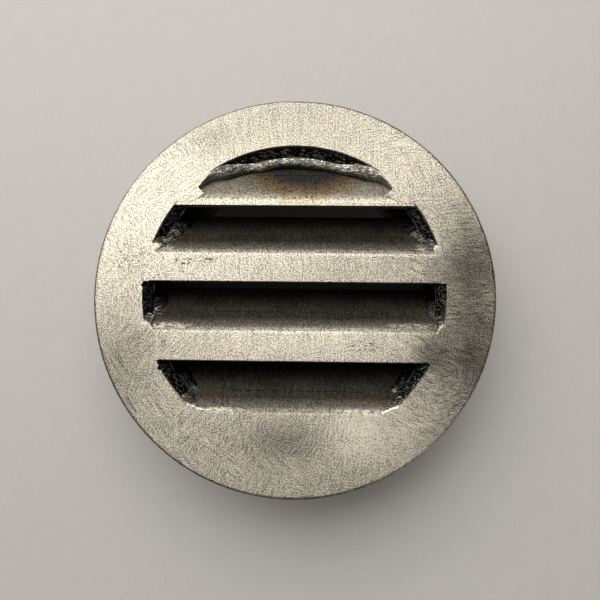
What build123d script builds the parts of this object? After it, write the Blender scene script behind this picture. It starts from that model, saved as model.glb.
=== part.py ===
from build123d import *

import os
from math import asin, cos, degrees, radians, sin, sqrt, tan

# A flat round louvred vent: a plate ring, four bent blades welded across its bore flush with
# the face, and a short pipe spigot behind. The vent stands on the end of its spigot, so Z = 0
# is that end, +Z points out of the face and +Y is up once it is fixed to an upright panel.

# ---- driving dimensions, mm and degrees ----
FLANGE_D = 152.4            # six-inch plate ring
FLANGE_T = 6.0
PIPE_OD = 114.3             # four-inch pipe, 3.05 wall
PIPE_WALL = 3.05
HEIGHT = 34.0               # spigot end to face
BLADE_T = 4.0               # blade plate; the pipe stops this far short of the face
SLOT_PITCH = 30.0
FIRST_EDGE_Y = 33.5         # lower edge of the top blade's flat, which is the first slot's top
SLOT_OPENING = 19.8         # from a slot's top edge down to where the blade below starts to bend
BEND_INNER_R = 5.0
BLADE_ANGLE = 45.0
BLADE_DEPTH = 16.0          # depth of a blade's rear edge below the face
TOP_FLAT = 0.8              # what is left of the top blade's flat above the first slot
TOP_BEND_INNER_R = 8.0
TOP_ANGLE = 27.0

# ---- weld sizes, mm ----
SEAM_WIDTH = 3.0            # V seams, ground flush with the face
SEAM_DEPTH = 2.2
SPIGOT_LEG = 4.0            # outer fillet between the ring's back and the pipe
PENETRATION = 0.8           # how far that fillet has melted into the pipe and the ring
SEAL_LEG = 2.6              # bead on the pipe's end, inside the bore
CLOSING_BEAD_R = 4.2        # bead that closes the top blade against the pipe
CHEEK_R = {"upper": (4.4, 3.6), "middle": (4.2, 3.0), "lower": (4.0, 3.4)}   # left, right
CHEEK_TOP_DEPTH = 2.5       # a cheek weld starts this far below the face
BEAD_END_X = 33.0           # half length of the closing bead across the vent
TIP_OUTER = (30.3, 48.5)    # x and y where the closing weld leaves the bore,
TIP_INNER = (36.5, 39.6)    # where its fill meets the bend line,
TIP_FOOT = (38.2, 35.4)     # and where it runs out on the flat

# ---- small clearances and edges, mm ----
FIT_GAP = 0.1               # blade ends to the inside of the pipe
EDGE_ROUND = 1.0            # outer edge of the face
SLOT_EDGE_BREAK = 0.5       # edges of the slots, on the ring and on the flats of the blades
BACK_BREAK = 0.5            # broken edges behind
NOTCH_R = 0.8               # saw-start nicks in the bore, at two slot corners
NOTCH_POINTS = ((-57.3, 1.9), (-49.6, -29.3))

# ---- worked out from the above ----
FLANGE_R = FLANGE_D / 2
BORE_R = PIPE_OD / 2
PIPE_R = BORE_R - PIPE_WALL
FLANGE_BACK_Z = HEIGHT - FLANGE_T
PIPE_TOP_Z = HEIGHT - BLADE_T
BEND_R = BEND_INNER_R + BLADE_T
TOP_BEND_R = TOP_BEND_INNER_R + BLADE_T
BLADE_NAMES = ("upper", "middle", "lower")


def bend_start(index):
    """Y where blade `index` leaves the face: 0 upper, 1 middle, 2 lower."""
    return FIRST_EDGE_Y - index * SLOT_PITCH - SLOT_OPENING


def flat_edge(index):
    """Y of the sheared lower edge of blade `index`; the lowest blade runs on into the bore."""
    if index == len(BLADE_NAMES) - 1:
        return -BORE_R - BLADE_T
    return FIRST_EDGE_Y - (index + 1) * SLOT_PITCH


def on_slope(y, start, radius, angle, side):
    """Point where the outer face of a sloping blade meets the inside of the pipe at height y."""
    plane_y = start + radius * tan(radians(angle / 2))
    depth = (y - plane_y) * tan(radians(angle))
    return Vector(side * sqrt(PIPE_R**2 - y**2), y, HEIGHT - depth)


def radial_plane(angle):
    """Plane through the vent's axis: local x points out at `angle`, local y points up."""
    a = radians(angle)
    return Plane(origin=(0, 0, 0), x_dir=(cos(a), sin(a), 0), z_dir=(sin(a), -cos(a), 0))


def save(piece, name):
    """Label a finished piece and write it to its own file."""
    piece.label = name
    export_step(piece, f"parts/{name}.step")
    print(f"{name:32s} {piece.volume:10.1f} mm3  solids {len(piece.solids())}")


os.makedirs("parts", exist_ok=True)

# ---- the stepped well: all the room inside the ring's bore and the pipe ----
with BuildPart() as well:
    with Locations((0, 0, HEIGHT)):
        Cylinder(BORE_R, BLADE_T, align=(Align.CENTER, Align.CENTER, Align.MAX))
    Cylinder(PIPE_R - FIT_GAP, PIPE_TOP_Z, align=(Align.CENTER, Align.CENTER, Align.MIN))


# ---- blades: one bent plate section each, trimmed to the well ----
def bent_blade(edge_y, start_y, inner_radius, angle, slope_length):
    """A plate whose flat lies in the face and whose upper half bends back into the pipe."""
    with BuildPart() as blade:
        with BuildSketch(Plane.YZ):
            with BuildLine():
                flat = Line((edge_y, HEIGHT), (start_y, HEIGHT))
                bend = JernArc(flat @ 1, flat % 1, inner_radius + BLADE_T, -angle)
                Line(bend @ 1, bend @ 1 + bend % 1 * slope_length)
                offset(amount=BLADE_T, side=Side.RIGHT)
            outline = make_face()
            sheared_corner = outline.vertices().sort_by_distance((0, edge_y, HEIGHT))[0]
            fillet(sheared_corner, SLOT_EDGE_BREAK)
        extrude(amount=BORE_R, both=True)
        add(well.part, mode=Mode.INTERSECT)
    return blade.part


bend_drop = BEND_R * (1 - cos(radians(BLADE_ANGLE)))
slope_length = (BLADE_DEPTH - bend_drop) / sin(radians(BLADE_ANGLE))
blades = {}
for i, name in enumerate(BLADE_NAMES):
    blades[name] = bent_blade(flat_edge(i), bend_start(i), BEND_INNER_R, BLADE_ANGLE, slope_length)

top_start = FIRST_EDGE_Y + TOP_FLAT
blades["top"] = bent_blade(FIRST_EDGE_Y, top_start, TOP_BEND_INNER_R, TOP_ANGLE, PIPE_R)


# ---- V seams between the blades' flats and the ring ----
def seam(first, last):
    """Weld metal in a V groove along the bore, counter-clockwise between two angles."""
    with BuildPart() as weld:
        with BuildSketch(radial_plane(first)):
            with BuildLine():
                Polyline(
                    (BORE_R - SEAM_WIDTH / 2, HEIGHT),
                    (BORE_R + SEAM_WIDTH / 2, HEIGHT),
                    (BORE_R, HEIGHT - SEAM_DEPTH),
                    close=True,
                )
            make_face()
        revolve(axis=Axis.Z, revolution_arc=last - first)
    return weld.part


def bore_angle(y):
    """Angle of the bore's point at height y, on the right-hand side."""
    return degrees(asin(y / BORE_R))


seams = {}
for i, name in enumerate(("upper", "middle")):
    low = bore_angle(flat_edge(i))
    high = bore_angle(bend_start(i))
    seams[f"{name}_bar_seam_left"] = seam(180 - high, 180 - low)
    seams[f"{name}_bar_seam_right"] = seam(low, high)
seams["bottom_seam"] = seam(-180 - bore_angle(bend_start(2)), bore_angle(bend_start(2)))

# ---- outer fillet between the pipe and the back of the ring, melted a little into both ----
with BuildPart() as fillet_weld:
    with BuildSketch(Plane.XZ):
        with BuildLine():
            Polyline(
                (BORE_R, FLANGE_BACK_Z - SPIGOT_LEG),
                (BORE_R + SPIGOT_LEG, FLANGE_BACK_Z),
                (BORE_R + PENETRATION, FLANGE_BACK_Z + PENETRATION),
                (BORE_R - PENETRATION, FLANGE_BACK_Z + PENETRATION),
                (BORE_R - PENETRATION, FLANGE_BACK_Z - SPIGOT_LEG + PENETRATION),
                close=True,
            )
        make_face()
    revolve(axis=Axis.Z)
save(fillet_weld.part, "spigot_fillet_weld")

# ---- flange ring ----
with BuildPart() as flange_ring:
    with BuildSketch(Plane.XY.offset(FLANGE_BACK_Z)):
        Circle(FLANGE_R)
        Circle(BORE_R, mode=Mode.SUBTRACT)
    extrude(amount=FLANGE_T)
    rim = flange_ring.edges().filter_by(GeomType.CIRCLE).sort_by(SortBy.RADIUS)[-2:]
    fillet(rim.sort_by(Axis.Z)[-1], EDGE_ROUND)
    rim = flange_ring.edges().filter_by(GeomType.CIRCLE).group_by(Axis.Z)[0]
    chamfer(rim.sort_by(SortBy.RADIUS)[-1], BACK_BREAK)
    for groove in seams.values():
        add(groove, mode=Mode.SUBTRACT)
    on_face = flange_ring.edges().filter_by(GeomType.CIRCLE).group_by(Axis.Z)[-1]
    slot_arcs = [edge for edge in on_face if abs(edge.radius - BORE_R) < FIT_GAP]
    chamfer(slot_arcs, SLOT_EDGE_BREAK)
    with BuildSketch(Plane.XY.offset(FLANGE_BACK_Z)):
        with Locations(*NOTCH_POINTS):
            Circle(NOTCH_R)
    extrude(amount=FLANGE_T, mode=Mode.SUBTRACT)
    add(fillet_weld.part, mode=Mode.SUBTRACT)
save(flange_ring.part, "flange_ring")

# ---- spigot tube: stops one blade thickness below the face ----
with BuildPart() as spigot_tube:
    with BuildSketch(Plane.XY):
        Circle(BORE_R)
        Circle(PIPE_R, mode=Mode.SUBTRACT)
    extrude(amount=PIPE_TOP_Z)
    chamfer(spigot_tube.edges().group_by(Axis.Z)[0], BACK_BREAK)
    add(fillet_weld.part, mode=Mode.SUBTRACT)
save(spigot_tube.part, "spigot_tube")

# ---- blades with their seam grooves ----
for name, blank in blades.items():
    with BuildPart() as blade:
        add(blank)
        for groove in seams.values():
            add(groove, mode=Mode.SUBTRACT)
    save(blade.part, f"{name}_blade")

for name, piece in seams.items():
    save(piece, name)


# ---- welds in the corners between blades and pipe ----
def corner_bead(points, radius):
    """A round bead along a corner: a swept rod, less whatever lies outside the open well."""
    with BuildPart() as bead:
        with BuildLine() as corner:
            ThreePointArc(*points)
        with BuildSketch(Plane(origin=corner.line @ 0, z_dir=corner.line % 0)):
            Circle(radius)
        sweep(path=corner.line)
        add(well.part, mode=Mode.INTERSECT)
        for blank in blades.values():
            add(blank, mode=Mode.SUBTRACT)
    return bead.solids().sort_by(SortBy.VOLUME)[-1]


cheeks = {}
for i, name in enumerate(BLADE_NAMES):
    y_face = bend_start(i) + BEND_R * tan(radians(BLADE_ANGLE / 2))
    y_run = [y_face + depth / tan(radians(BLADE_ANGLE))
             for depth in (CHEEK_TOP_DEPTH, (CHEEK_TOP_DEPTH + BLADE_DEPTH) / 2, BLADE_DEPTH)]
    for word, side, radius in zip(("left", "right"), (-1, 1), CHEEK_R[name]):
        points = [on_slope(y, bend_start(i), BEND_R, BLADE_ANGLE, side) for y in y_run]
        cheeks[f"{name}_cheek_weld_{word}"] = corner_bead(points, radius)

for name, piece in cheeks.items():
    save(piece, name)

# ---- closing weld of the top blade: a long bead, and a filled tip at each end ----
bead_end_y = sqrt(PIPE_R**2 - BEAD_END_X**2)
closing_points = [
    on_slope(bead_end_y, top_start, TOP_BEND_R, TOP_ANGLE, -1),
    on_slope(PIPE_R, top_start, TOP_BEND_R, TOP_ANGLE, 1),
    on_slope(bead_end_y, top_start, TOP_BEND_R, TOP_ANGLE, 1),
]
long_bead = corner_bead(closing_points, CLOSING_BEAD_R)
with BuildPart() as closing_weld:
    with BuildSketch(Plane.XY.offset(HEIGHT - BLADE_T)):
        for side in (-1, 1):
            with BuildLine():
                Polyline(
                    (side * TIP_OUTER[0], TIP_OUTER[1]),
                    (side * TIP_INNER[0], TIP_INNER[1]),
                    (side * TIP_FOOT[0], TIP_FOOT[1]),
                    (side * BORE_R, TIP_FOOT[1]),
                    (side * BORE_R, TIP_OUTER[1]),
                    close=True,
                )
            make_face()
    extrude(amount=BLADE_T)
    add(well.part, mode=Mode.INTERSECT)
    add(blades["top"], mode=Mode.SUBTRACT)
    add(long_bead)
save(closing_weld.part, "top_closing_weld")

# ---- seal bead on the pipe's end, where the slots leave it open ----
with BuildPart() as seal_welds:
    with BuildSketch(Plane.XZ):
        with BuildLine():
            Polyline(
                (BORE_R, PIPE_TOP_Z),
                (BORE_R, PIPE_TOP_Z + SEAL_LEG),
                (BORE_R - SEAL_LEG, PIPE_TOP_Z),
                close=True,
            )
        make_face()
    revolve(axis=Axis.Z)
    for piece in (*blades.values(), *cheeks.values(), closing_weld.part):
        add(piece, mode=Mode.SUBTRACT)
save(seal_welds.part, "inner_seal_welds")
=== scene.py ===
# %% [markdown]
# # A round louvred vent in raw stainless steel
#
# The vent is a welded fabrication: a plate ring, four bent blades across its bore, a pipe
# spigot behind, and the weld beads that hold them. The CAD model gives every size. This
# file gives the looks: smooth bends, rippled beads and hand-ground steel.

from math import asin, copysign, cos, degrees, pi, radians, sin, sqrt, tan

import bmesh
import bpy
import numpy as np
from mathutils import Matrix, Vector


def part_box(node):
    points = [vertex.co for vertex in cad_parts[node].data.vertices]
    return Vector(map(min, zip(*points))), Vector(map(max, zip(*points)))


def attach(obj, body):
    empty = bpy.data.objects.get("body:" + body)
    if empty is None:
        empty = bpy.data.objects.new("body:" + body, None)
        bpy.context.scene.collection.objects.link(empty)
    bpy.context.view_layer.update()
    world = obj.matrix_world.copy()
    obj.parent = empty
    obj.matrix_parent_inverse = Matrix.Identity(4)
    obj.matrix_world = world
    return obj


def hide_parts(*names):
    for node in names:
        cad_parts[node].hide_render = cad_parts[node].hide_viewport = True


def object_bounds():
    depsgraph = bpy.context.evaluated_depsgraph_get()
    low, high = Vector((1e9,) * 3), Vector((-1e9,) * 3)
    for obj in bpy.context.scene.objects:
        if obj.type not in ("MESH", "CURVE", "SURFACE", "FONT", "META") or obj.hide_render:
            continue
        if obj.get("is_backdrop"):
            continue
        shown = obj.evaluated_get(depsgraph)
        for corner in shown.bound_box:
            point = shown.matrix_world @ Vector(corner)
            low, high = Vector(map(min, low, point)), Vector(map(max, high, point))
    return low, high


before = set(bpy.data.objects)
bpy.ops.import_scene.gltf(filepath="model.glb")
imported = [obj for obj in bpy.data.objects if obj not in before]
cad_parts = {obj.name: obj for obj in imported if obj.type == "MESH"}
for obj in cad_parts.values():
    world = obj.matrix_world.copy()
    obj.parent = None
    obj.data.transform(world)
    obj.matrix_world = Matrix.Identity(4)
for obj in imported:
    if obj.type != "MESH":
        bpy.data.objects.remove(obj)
cad_low, cad_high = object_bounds()
print("frame:", len(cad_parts), "nodes, size", [round(v, 4) for v in cad_high - cad_low])

# %% [markdown]
# ## The sizes that everything else is worked out from
#
# Measures are read from the CAD nodes, so the looks follow the design if it changes. The
# bend radii and angles can't be read from a box, so they are named here, in metres.

# %% Read the driving sizes from the frame
MM = 0.001
ring_low, ring_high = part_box("flange_ring")
tube_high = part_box("spigot_tube")[1]

FACE_Z = ring_high.z
FLANGE_R = ring_high.x
BORE_R = tube_high.x
PIPE_WALL = 3.05 * MM
PIPE_R = BORE_R - PIPE_WALL
PIPE_TOP_Z = tube_high.z
PLATE = FACE_Z - PIPE_TOP_Z
BEND_R = 9 * MM
BLADE_ANGLE = radians(45)
TOP_BEND_R = 12 * MM
TOP_ANGLE = radians(27)
SEAM_HALF = 1.5 * MM
SEAM_DEPTH = 2.2 * MM
FIT_GAP = 0.1 * MM
print(f"face at {FACE_Z / MM:.1f} mm, flange radius {FLANGE_R / MM:.1f} mm, plate {PLATE / MM:.1f} mm")


# %% [markdown]
# ## A short way to write node trees
#
# Node trees are easier to read as formulas. A Wire stands for one socket: adding or
# multiplying two wires places the Math node for it, in a geometry tree or in a material.

# %% Helper: arithmetic on sockets
class Wire:
    """One value in a node tree. Operators place Math nodes and return the new value."""

    def __init__(self, tree, socket):
        self.tree = tree
        self.socket = socket

    def math(self, operation, *others):
        node = self.tree.nodes.new("ShaderNodeMath")
        node.operation = operation
        for place, value in enumerate((self, *others)):
            feed(self.tree, value, node.inputs[place])
        return Wire(self.tree, node.outputs[0])

    def __add__(self, other):
        return self.math("ADD", other)

    def __sub__(self, other):
        return self.math("SUBTRACT", other)

    def __mul__(self, other):
        return self.math("MULTIPLY", other)

    def __truediv__(self, other):
        return self.math("DIVIDE", other)

    def clamped(self):
        return self.math("MAXIMUM", 0.0).math("MINIMUM", 1.0)

    def flipped(self):
        """1 minus the value."""
        return self * -1.0 + 1.0

    def ramp(self, start, end):
        """0 at start and 1 at end, smooth between and held outside; either may be the larger."""
        node = self.tree.nodes.new("ShaderNodeMapRange")
        node.interpolation_type = "SMOOTHSTEP"
        feed(self.tree, self, node.inputs["Value"])
        falling = start > end
        node.inputs["From Min"].default_value = min(start, end)
        node.inputs["From Max"].default_value = max(start, end)
        node.inputs["To Min"].default_value = 1.0 if falling else 0.0
        node.inputs["To Max"].default_value = 0.0 if falling else 1.0
        return Wire(self.tree, node.outputs["Result"])


def feed(tree, value, socket):
    """Links a wire to a socket, or sets the socket to a plain number or colour."""
    if isinstance(value, Wire):
        tree.links.new(value.socket, socket)
    else:
        socket.default_value = value


def axes_of(tree, vector_socket):
    """The three coordinates of a vector socket, as wires."""
    node = tree.nodes.new("ShaderNodeSeparateXYZ")
    tree.links.new(vector_socket, node.inputs[0])
    return [Wire(tree, out) for out in node.outputs]


def vector_of(tree, x, y, z):
    """Three values joined to one vector socket."""
    node = tree.nodes.new("ShaderNodeCombineXYZ")
    for value, socket in zip((x, y, z), node.inputs):
        feed(tree, value, socket)
    return node.outputs[0]


def noise(tree, vector_socket, detail=2.0, roughness=0.5):
    """A noise value around 0.5; the vector is already at the noise's scale."""
    node = tree.nodes.new("ShaderNodeTexNoise")
    node.inputs["Scale"].default_value = 1.0
    node.inputs["Detail"].default_value = detail
    node.inputs["Roughness"].default_value = roughness
    tree.links.new(vector_socket, node.inputs["Vector"])
    return Wire(tree, node.outputs[0])


# %% [markdown]
# ## Bare materials first
#
# Geometry trees end in Set Material, so each finish gets its name now and its nodes later.

# %% Name the finishes
FINISHES = ("ground_plate", "tinted_plate", "pipe_steel", "weld_bead", "seal_bead")
finish = {name: bpy.data.materials.new(name) for name in FINISHES}
for material in finish.values():
    material.use_nodes = True
print("finishes:", ", ".join(finish))


# %% [markdown]
# ## From modifier stack to finished piece
#
# A piece made by Geometry Nodes or modifiers is turned into one plain mesh. Its faces shade
# smooth, and edges sharper than an angle stay crisp. A signed volume below zero means that
# the faces look inward, so they are turned round.

# %% Helpers: bake a piece, hand it to the frame
SHARP_ANGLE = radians(32)
LEVEL = 0.99999


def signed_volume(mesh):
    points = np.empty(len(mesh.vertices) * 3)
    mesh.vertices.foreach_get("co", points)
    points = points.reshape(-1, 3)
    mesh.calc_loop_triangles()
    corners = np.empty(len(mesh.loop_triangles) * 3, int)
    mesh.loop_triangles.foreach_get("vertices", corners)
    a, b, c = (points[corners.reshape(-1, 3)[:, k]] for k in range(3))
    return float(np.einsum("ij,ij->i", a, np.cross(b, c)).sum() / 6)


def plain_mesh(obj, name, keep_normals=False):
    """The evaluated shape of obj as a new object with a plain mesh; obj itself is removed."""
    graph = bpy.context.evaluated_depsgraph_get()
    mesh = bpy.data.meshes.new_from_object(obj.evaluated_get(graph))
    bpy.data.objects.remove(obj)
    mesh.name = name
    if signed_volume(mesh) < 0:
        mesh.flip_normals()
    piece = bpy.data.objects.new(name, mesh)
    bpy.context.scene.collection.objects.link(piece)
    if not keep_normals:
        mesh.shade_smooth()
        mesh.set_sharp_from_angle(angle=SHARP_ANGLE)
    return piece


def with_flat_flats(piece):
    """The same piece with its level faces shaded dead flat, right up to a bend or a rounded rim."""
    work = bmesh.new()
    work.from_mesh(piece.data)
    for edge in work.edges:
        level = [abs(face.normal.z) > LEVEL for face in edge.link_faces]
        if len(set(level)) > 1:
            edge.smooth = False
    work.to_mesh(piece.data)
    work.free()
    flats = piece.modifiers.new("flats stay flat", "WEIGHTED_NORMAL")
    flats.keep_sharp = True
    flats.weight = 100
    return plain_mesh(piece, piece.name, keep_normals=True)


def hand_over(piece, node):
    """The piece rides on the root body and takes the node's place."""
    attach(piece, "root")
    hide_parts(node)
    volume = signed_volume(piece.data) / MM**3
    print(f"{piece.name}: {len(piece.data.polygons)} faces, {volume:.0f} mm3")


# %% [markdown]
# ## Ring, pipe and seams: merged copies of the CAD solids
#
# These shapes are already right. Their CAD meshes are loose triangles, which shade in
# facets, so a copy is merged into one skin and shaded smooth across its curved walls.

# %% Make the merged copies
MERGE = 0.002 * MM


def merged_copy(node, name, material):
    copy = bpy.data.objects.new(name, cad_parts[node].data.copy())
    bpy.context.scene.collection.objects.link(copy)
    copy.data.materials.clear()
    copy.data.materials.append(material)
    copy.data.shade_smooth()
    weld = copy.modifiers.new("weld", "WELD")
    weld.merge_threshold = MERGE
    piece = with_flat_flats(plain_mesh(copy, name))
    hand_over(piece, node)
    return piece


merged_copy("flange_ring", "plate_ring", finish["ground_plate"])
merged_copy("spigot_tube", "pipe_spigot", finish["pipe_steel"])
SEAMS = ("upper_bar_seam_left", "upper_bar_seam_right", "middle_bar_seam_left",
         "middle_bar_seam_right", "bottom_seam")
OVERLAP = 0.12 * MM
PROUD = 0.008 * MM
for node in SEAMS:
    piece = merged_copy(node, "flush_" + node, finish["ground_plate"])
    # grinding smears a seam a hair over both edges, so no gap shows
    for vertex in piece.data.vertices:
        if vertex.co.z > FACE_Z - PROUD:
            radius = vertex.co.xy.length
            stretch = 1 + copysign(OVERLAP, radius - BORE_R) / radius
            vertex.co.x *= stretch
            vertex.co.y *= stretch
            vertex.co.z += PROUD

# %% [markdown]
# ## The louvre blades: one rule, four blades
#
# A blade is a flat, a bend and a slope, and its ends are trimmed to the round well it sits
# in. That is a rule, so one Geometry Nodes tree makes all four: a fine box of points is
# moved to where the rule puts each of them. Rows run along the section, columns run across
# the blade, and layers run through the plate.

# %% Build the blade tree
FLAT_ROWS = 26
BEND_ROWS = 14
SLOPE_ROWS = 12
ROWS = FLAT_ROWS + BEND_ROWS + SLOPE_ROWS
COLUMNS = 61
LAYERS = 5


def new_tree(name, numbers):
    """A geometry tree with a mesh in and out, named number inputs and a material input."""
    tree = bpy.data.node_groups.new(name, "GeometryNodeTree")
    tree.is_modifier = True
    face = tree.interface
    face.new_socket("Geometry", in_out="INPUT", socket_type="NodeSocketGeometry")
    for label, default in numbers.items():
        socket = face.new_socket(label, in_out="INPUT", socket_type="NodeSocketFloat")
        socket.default_value = default
    face.new_socket("Material", in_out="INPUT", socket_type="NodeSocketMaterial")
    face.new_socket("Geometry", in_out="OUTPUT", socket_type="NodeSocketGeometry")
    given = tree.nodes.new("NodeGroupInput")
    return tree, {out.name: Wire(tree, out) for out in given.outputs}


def end_tree(tree, geometry_socket, material):
    """Closes a tree: merge coincident points, realize instances, set the material."""
    merge = tree.nodes.new("GeometryNodeMergeByDistance")
    merge.inputs["Distance"].default_value = MERGE
    realize = tree.nodes.new("GeometryNodeRealizeInstances")
    paint = tree.nodes.new("GeometryNodeSetMaterial")
    out = tree.nodes.new("NodeGroupOutput")
    tree.links.new(geometry_socket, merge.inputs["Geometry"])
    tree.links.new(merge.outputs[0], realize.inputs[0])
    tree.links.new(realize.outputs[0], paint.inputs["Geometry"])
    tree.links.new(material.socket, paint.inputs["Material"])
    tree.links.new(paint.outputs[0], out.inputs[0])


def run_tree(tree, mesh, settings, material, name, edge_round=0.0):
    """Runs a tree on a mesh with the given inputs and returns the plain result."""
    carrier = bpy.data.objects.new(name, mesh)
    bpy.context.scene.collection.objects.link(carrier)
    modifier = carrier.modifiers.new("tree", "NODES")
    modifier.node_group = tree
    ids = {item.name: item.identifier for item in tree.interface.items_tree if item.in_out == "INPUT"}
    for label, number in settings.items():
        modifier[ids[label]] = float(number)
    modifier[ids["Material"]] = material
    if edge_round:
        bevel = carrier.modifiers.new("sheared edges", "BEVEL")
        bevel.limit_method = "WEIGHT"
        bevel.width = edge_round
        bevel.segments = 3
    return plain_mesh(carrier, name)


UNDER_SEAM = 0.15 * MM
SUNK = 0.01 * MM
blade_tree, given = new_tree("bent blade", {
    "Edge Y": 0.0, "Bend Y": 0.01, "Bend Radius": BEND_R, "Angle": BLADE_ANGLE,
    "Slope Length": 0.018, "Seamed": 1.0, "Front Edge": 1.0})

block = blade_tree.nodes.new("GeometryNodeMeshCube")
block.inputs["Size"].default_value = (1, 1, 1)
block.inputs["Vertices X"].default_value = COLUMNS
block.inputs["Vertices Y"].default_value = ROWS + 1
block.inputs["Vertices Z"].default_value = LAYERS
here = blade_tree.nodes.new("GeometryNodeInputPosition")
unit_x, unit_y, unit_z = axes_of(blade_tree, here.outputs[0])
across = unit_x * 2.0
row = (unit_y + 0.5) * ROWS
layer = unit_z.flipped() - 0.5

# how far along the flat, the bend and the slope this row is, each from 0 to 1
on_flat = (row / FLAT_ROWS).clamped()
on_bend = ((row - FLAT_ROWS) / BEND_ROWS).clamped()
on_slope = ((row - (FLAT_ROWS + BEND_ROWS)) / SLOPE_ROWS).clamped()
turn = on_bend * given["Angle"]
turn_sin = turn.math("SINE")
turn_cos = turn.math("COSINE")
run = on_slope * given["Slope Length"]

# the outer surface, then the plate's thickness square to it
flat_y = given["Edge Y"] + (given["Bend Y"] - given["Edge Y"]) * on_flat
through = layer * PLATE
blade_y = flat_y + turn_sin * given["Bend Radius"] + turn_cos * run - turn_sin * through
depth = turn_cos.flipped() * given["Bend Radius"] + turn_sin * run + turn_cos * through

# the round well: the seam's groove near the face, the bore, then the inside of the pipe
in_groove = (depth / SEAM_DEPTH).clamped().flipped() * given["Seamed"]
groove = in_groove * on_bend.ramp(0.06, 0.0) * (SEAM_HALF - UNDER_SEAM)
in_pipe = depth.ramp(PLATE + 0.02 * MM, PLATE + 0.3 * MM) * (PIPE_WALL + FIT_GAP)
radius = (groove + in_pipe) * -1.0 + BORE_R
reach = (radius * radius - blade_y * blade_y).math("MAXIMUM", 0.0).math("SQRT")

# sheared edges are marked for a bevel: both ends of a row at the plate's outer or inner face
at_skin = unit_z.math("ABSOLUTE").math("COMPARE", 0.5, 0.001)
at_rear = unit_y.math("COMPARE", 0.5, 0.001)
at_front = unit_y.math("COMPARE", -0.5, 0.001) * given["Front Edge"]
mark = blade_tree.nodes.new("GeometryNodeStoreNamedAttribute")
mark.data_type = "FLOAT"
mark.domain = "EDGE"
mark.inputs["Name"].default_value = "bevel_weight_edge"
blade_tree.links.new(block.outputs["Mesh"], mark.inputs["Geometry"])
feed(blade_tree, at_skin * (at_rear + at_front), mark.inputs["Value"])

shape = blade_tree.nodes.new("GeometryNodeSetPosition")
blade_tree.links.new(mark.outputs[0], shape.inputs["Geometry"])
place = vector_of(blade_tree, across * reach, blade_y, depth * -1.0 + (FACE_Z - SUNK))
blade_tree.links.new(place, shape.inputs["Position"])
end_tree(blade_tree, shape.outputs[0], given["Material"])
print("blade tree:", len(blade_tree.nodes), "nodes")

# %% [markdown]
# ## The three 45 degree louvres
#
# Each louvre is the same tree with other numbers. A press brake would make all three with
# one tool, so they share bend radius and angle. The lowest has no front edge of its own,
# because its flat runs on to the ring.

# %% Make the three louvres
EDGE_ROUND = 0.4 * MM
blade_start = {}
for word in ("upper", "middle", "lower"):
    low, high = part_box(f"{word}_blade")
    rear_depth = FACE_Z - low.z - PLATE * cos(BLADE_ANGLE)
    slope_length = (rear_depth - BEND_R * (1 - cos(BLADE_ANGLE))) / sin(BLADE_ANGLE)
    bend_y = high.y - BEND_R * sin(BLADE_ANGLE) - slope_length * cos(BLADE_ANGLE)
    blade_start[word] = bend_y
    edge_y = -BORE_R + SEAM_HALF if word == "lower" else low.y
    sizes = {"Edge Y": edge_y, "Bend Y": bend_y, "Bend Radius": BEND_R, "Angle": BLADE_ANGLE,
             "Slope Length": slope_length, "Seamed": 1.0, "Front Edge": float(word != "lower")}
    piece = run_tree(blade_tree, bpy.data.meshes.new(word), sizes, finish["ground_plate"],
                     f"{word}_louvre", EDGE_ROUND)
    piece = with_flat_flats(piece)
    hand_over(piece, f"{word}_blade")
    print(f"   edge {edge_y / MM:.1f}, bend starts {bend_y / MM:.1f}, slope {slope_length / MM:.1f} mm")

# %% [markdown]
# ## The top blade
#
# It has hardly any flat, bends only gently, and runs on until it meets the pipe, where a
# weld closes it. Welding heat has tinted it, so it carries a finish of its own.

# %% Make the top blade
TOP_FLAT = 0.8 * MM
TOP_CLEARANCE = 0.15 * MM
TOP_EDGE_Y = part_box("top_blade")[0].y
TOP_BEND_Y = TOP_EDGE_Y + TOP_FLAT
top_reach = PIPE_R - TOP_CLEARANCE - TOP_BEND_Y - TOP_BEND_R * sin(TOP_ANGLE)
top_slope = top_reach / cos(TOP_ANGLE)
sizes = {"Edge Y": TOP_EDGE_Y, "Bend Y": TOP_BEND_Y, "Bend Radius": TOP_BEND_R, "Angle": TOP_ANGLE,
         "Slope Length": top_slope, "Seamed": 0.0, "Front Edge": 1.0}
piece = run_tree(blade_tree, bpy.data.meshes.new("top"), sizes, finish["tinted_plate"], "top_louvre",
                 EDGE_ROUND)
hand_over(piece, "top_blade")


# %% [markdown]
# ## Weld beads: a skeleton and a rule
#
# A fillet weld runs along a corner. At each station along the corner three points say how
# it lies: the toe on one plate, the toe on the other, and the height of its crown. Those go
# in as attributes of a chain of points. The tree lays a closed skin over them, adds the
# ripples that the pool leaves as it freezes, and grinds off whatever stands above a level.

# %% Build the bead tree
SECTION = 14


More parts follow.
